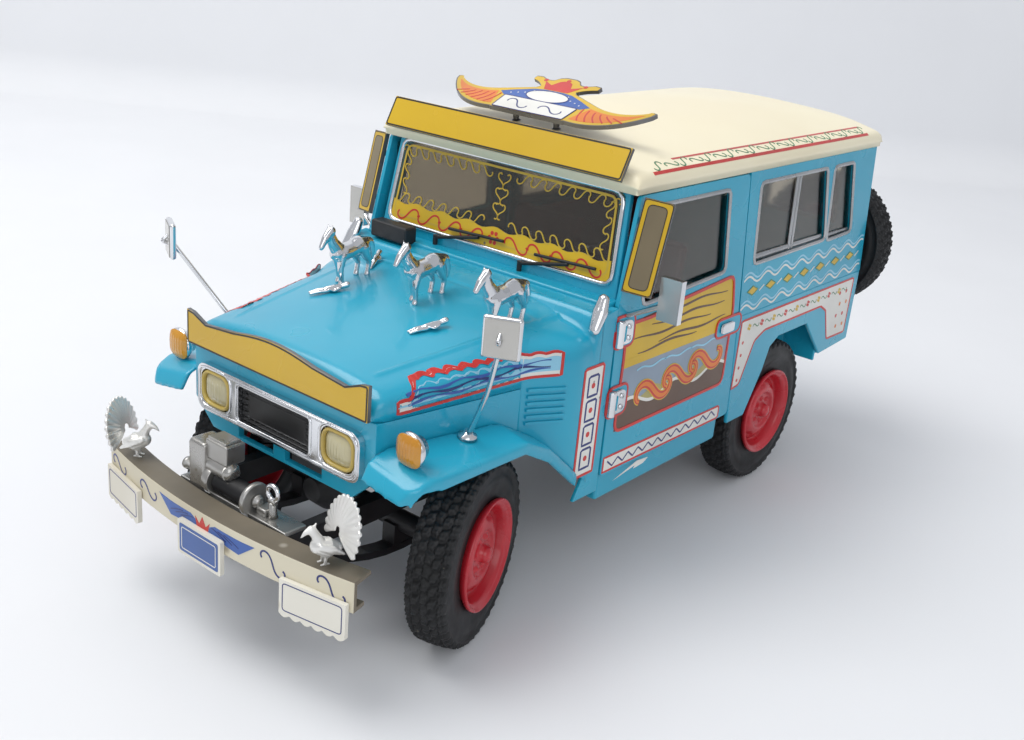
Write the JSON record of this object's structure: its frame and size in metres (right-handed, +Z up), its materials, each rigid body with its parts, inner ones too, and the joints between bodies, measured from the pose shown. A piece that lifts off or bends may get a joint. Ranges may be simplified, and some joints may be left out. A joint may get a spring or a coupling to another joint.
{
  "type": "scale model jeepney",
  "caption": "Assembled plastic scale model of a short-bonnet hardtop jeepney with chrome ornaments, signboards and winch; wheels roll and the front pair steers.",
  "frame": {"origin": "centre of the footprint on the surface that the tyres stand on", "axes": "+Z up, front of the vehicle towards -Y, its left side towards +X"},
  "size_m": [0.0856, 0.1852, 0.0885],
  "materials": {
    "black_plastic": "semi-matt black moulding",
    "exhaust_grey": "dull grey paint",
    "body_turquoise": "glossy turquoise enamel with fine dust specks",
    "roof_cream": "satin cream enamel",
    "window_clear": "clear styrene panes",
    "chrome_plate": "vacuum-plated plastic, slightly worn",
    "lamp_lens": "yellowed clear lens over grey",
    "amber_lens": "amber lens",
    "red_lens": "red lens",
    "bumper_cream": "aged cream with brown-grey top",
    "plate_white": "blank printed plate",
    "sign_yellow": "printed yellow board, blank",
    "seat_red": "dull red moulding",
    "wheel_red": "red moulding",
    "tyre_rubber": "dark grey rubber"
  },
  "bodies": {
    "vehicle": {"chassis_frame": "black_plastic", "front_axle": "black_plastic", "rear_axle": "black_plastic", "leaf_springs": "black_plastic", "gearbox": "black_plastic", "drive_shafts": "black_plastic", "fuel_tank": "black_plastic", "exhaust": "exhaust_grey", "floor_pan": "black_plastic", "rear_tub": "body_turquoise", "cowl": "body_turquoise", "left_door": "body_turquoise", "right_door": "body_turquoise", "hardtop_sides": "body_turquoise", "rear_panel": "body_turquoise", "rear_doors": "body_turquoise", "roof": "roof_cream", "windshield_frame": "body_turquoise", "window_glass": "window_clear", "hood": "body_turquoise", "nose_panel": "body_turquoise", "front_fenders": "body_turquoise", "running_boards": "body_turquoise", "grille_bezel": "chrome_plate", "grille_mesh": "black_plastic", "headlamps": "lamp_lens", "indicators": "amber_lens", "front_bumper": "bumper_cream", "winch": "chrome_plate", "bumper_plates": "plate_white", "bumper_birds": "chrome_plate", "front_signboard": "sign_yellow", "roof_signboard": "sign_yellow", "roof_crest": "sign_yellow", "side_boards": "sign_yellow", "hood_ornaments": "chrome_plate", "fender_mirrors": "chrome_plate", "door_mirrors": "chrome_plate", "cowl_box": "black_plastic", "wipers": "black_plastic", "dashboard": "black_plastic", "steering_wheel": "black_plastic", "front_seats": "seat_red", "rear_benches": "seat_red", "tail_lamps": "red_lens", "spare_rim": "wheel_red", "spare_tyre": "tyre_rubber"},
    "left_knuckle": {"left_knuckle": "black_plastic"},
    "right_knuckle": {"right_knuckle": "black_plastic"},
    "tie_rod": {"tie_rod": "black_plastic"},
    "left_front_wheel": {"left_front_rim": "wheel_red", "left_front_tyre": "tyre_rubber"},
    "right_front_wheel": {"right_front_rim": "wheel_red", "right_front_tyre": "tyre_rubber"},
    "left_rear_wheel": {"left_rear_rim": "wheel_red", "left_rear_tyre": "tyre_rubber"},
    "right_rear_wheel": {"right_rear_rim": "wheel_red", "right_rear_tyre": "tyre_rubber"}
  },
  "joints": [
    {"name": "steer_left", "type": "hinge", "parent": "vehicle", "child": "left_knuckle", "pos_m": [0.0244, -0.05862, 0.017], "axis": [0, 0, 1], "range_deg": [-46, 10]},
    {"name": "steer_right", "type": "hinge", "parent": "vehicle", "child": "right_knuckle", "pos_m": [-0.0244, -0.05862, 0.017], "axis": [0, 0, 1], "range_deg": [-46, 10]},
    {"name": "tie_rod_pivot", "type": "hinge", "parent": "left_knuckle", "child": "tie_rod", "pos_m": [0.02255, -0.05292, 0.0134], "axis": [0, 0, 1], "range_deg": [-10, 46]},
    {"name": "left_front_spin", "type": "hinge", "parent": "left_knuckle", "child": "left_front_wheel", "pos_m": [0.02744, -0.05764, 0.017], "axis": [0.9511, 0.309, 0], "continuous": true},
    {"name": "right_front_spin", "type": "hinge", "parent": "right_knuckle", "child": "right_front_wheel", "pos_m": [-0.02744, -0.05961, 0.017], "axis": [0.9511, 0.309, 0], "continuous": true},
    {"name": "left_rear_spin", "type": "hinge", "parent": "vehicle", "child": "left_rear_wheel", "pos_m": [0.0276, 0.04263, 0.017], "axis": [1, 0, 0], "continuous": true},
    {"name": "right_rear_spin", "type": "hinge", "parent": "vehicle", "child": "right_rear_wheel", "pos_m": [-0.0276, 0.04263, 0.017], "axis": [1, 0, 0], "continuous": true}
  ],
  "couplings": [
    {"joint": "steer_right", "follows": "steer_left", "ratio": 1},
    {"joint": "tie_rod_pivot", "follows": "steer_left", "ratio": -1}
  ]
}
